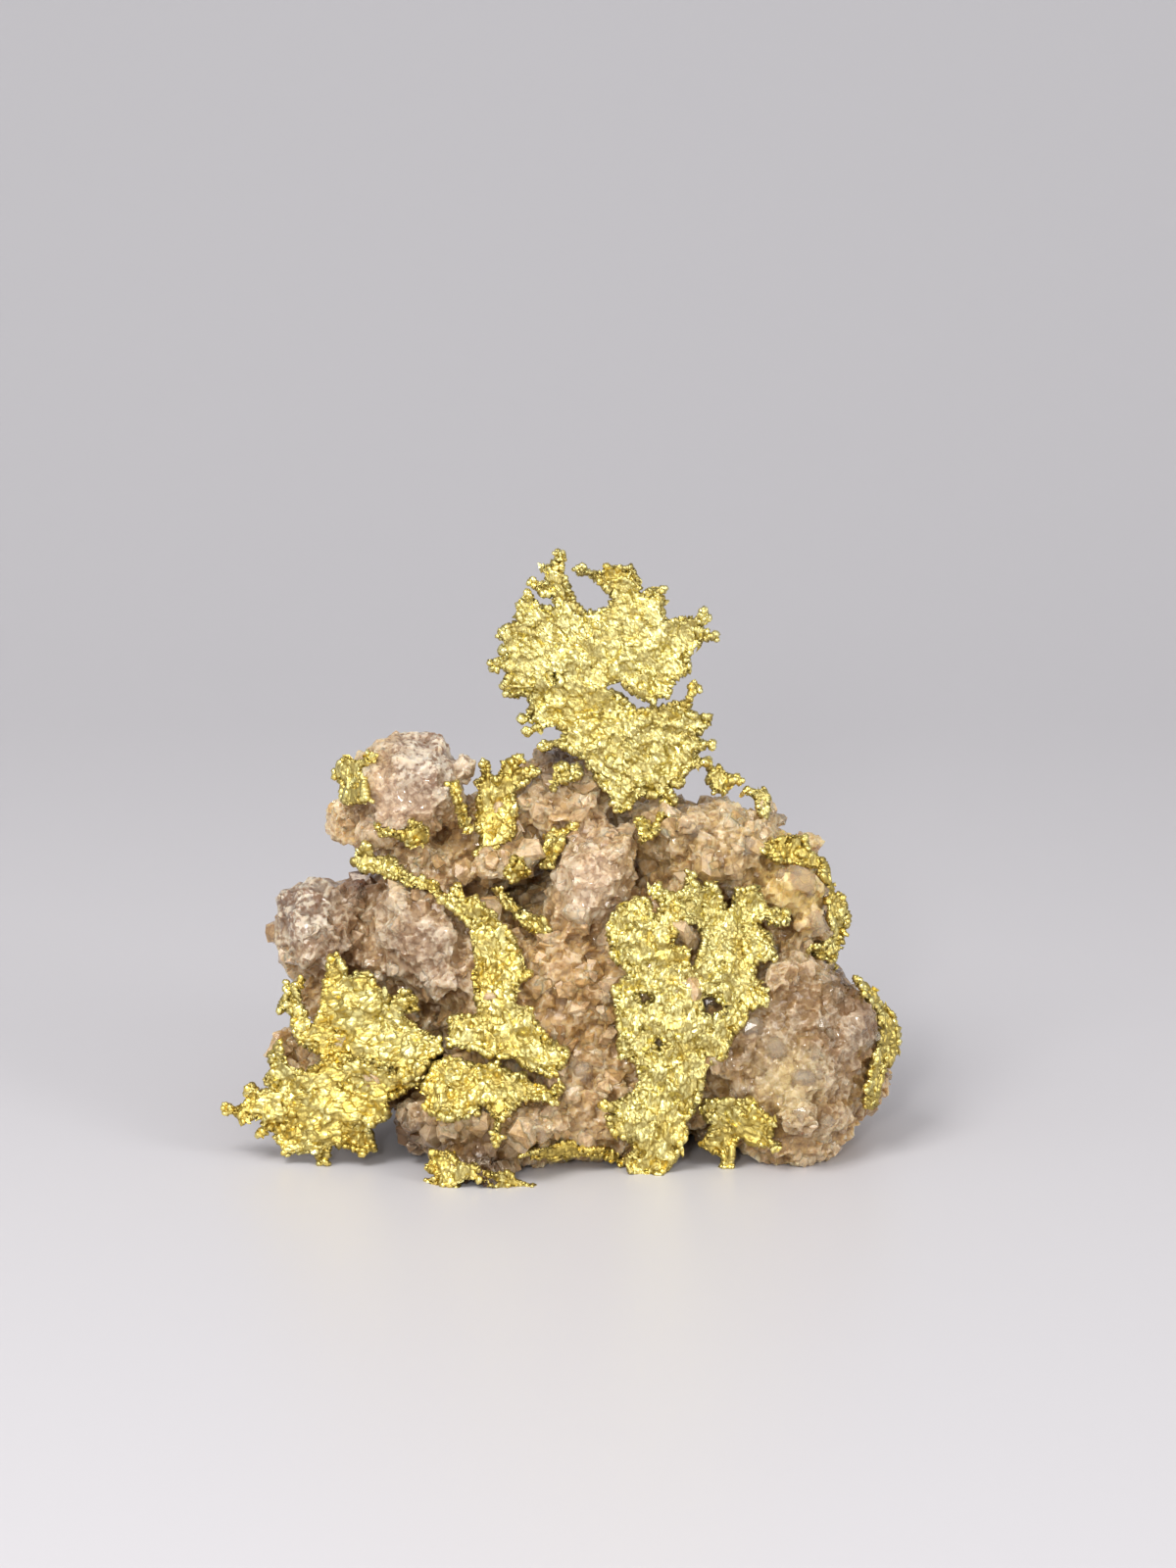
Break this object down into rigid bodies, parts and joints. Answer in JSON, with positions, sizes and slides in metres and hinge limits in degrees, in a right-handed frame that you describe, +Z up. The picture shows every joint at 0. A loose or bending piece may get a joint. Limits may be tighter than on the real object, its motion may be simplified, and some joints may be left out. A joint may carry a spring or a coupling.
{
  "type": "leaf gold specimen",
  "caption": "Natural mineral specimen for display: crinkled leaves of crystallised gold grown over a lump of granular brown quartz, with one tall leaf standing on top.",
  "frame": {"origin": "middle of the underside of the bounding box, on the surface that the specimen stands on", "axes": "+X to the right of the best face, +Y away from the viewer of that face, +Z up"},
  "size_m": [0.021, 0.013, 0.0184],
  "materials": {
    "quartz": "granular, glassy grains",
    "gold": "bright native gold, crinkled and studded with tiny crystals"
  },
  "bodies": {
    "root": {"quartz_matrix": "quartz", "crown_leaf": "gold", "centre_leaf": "gold", "foot_leaf": "gold", "left_wing": "gold", "left_fan": "gold", "apron_leaf": "gold", "middle_vein": "gold", "finger_leaf": "gold", "neck_strand": "gold", "cheek_leaf": "gold", "lip_leaf": "gold", "temple_leaf": "gold", "saddle_leaf": "gold", "brow_leaf": "gold", "ridge_leaf": "gold", "bridge_leaf": "gold", "socket_leaf": "gold", "shoulder_tuft": "gold", "shoulder_knob": "gold", "shoulder_strip": "gold", "rim_leaf": "gold", "ledge_foil": "gold", "base_foil": "gold"}
  },
  "joints": []
}
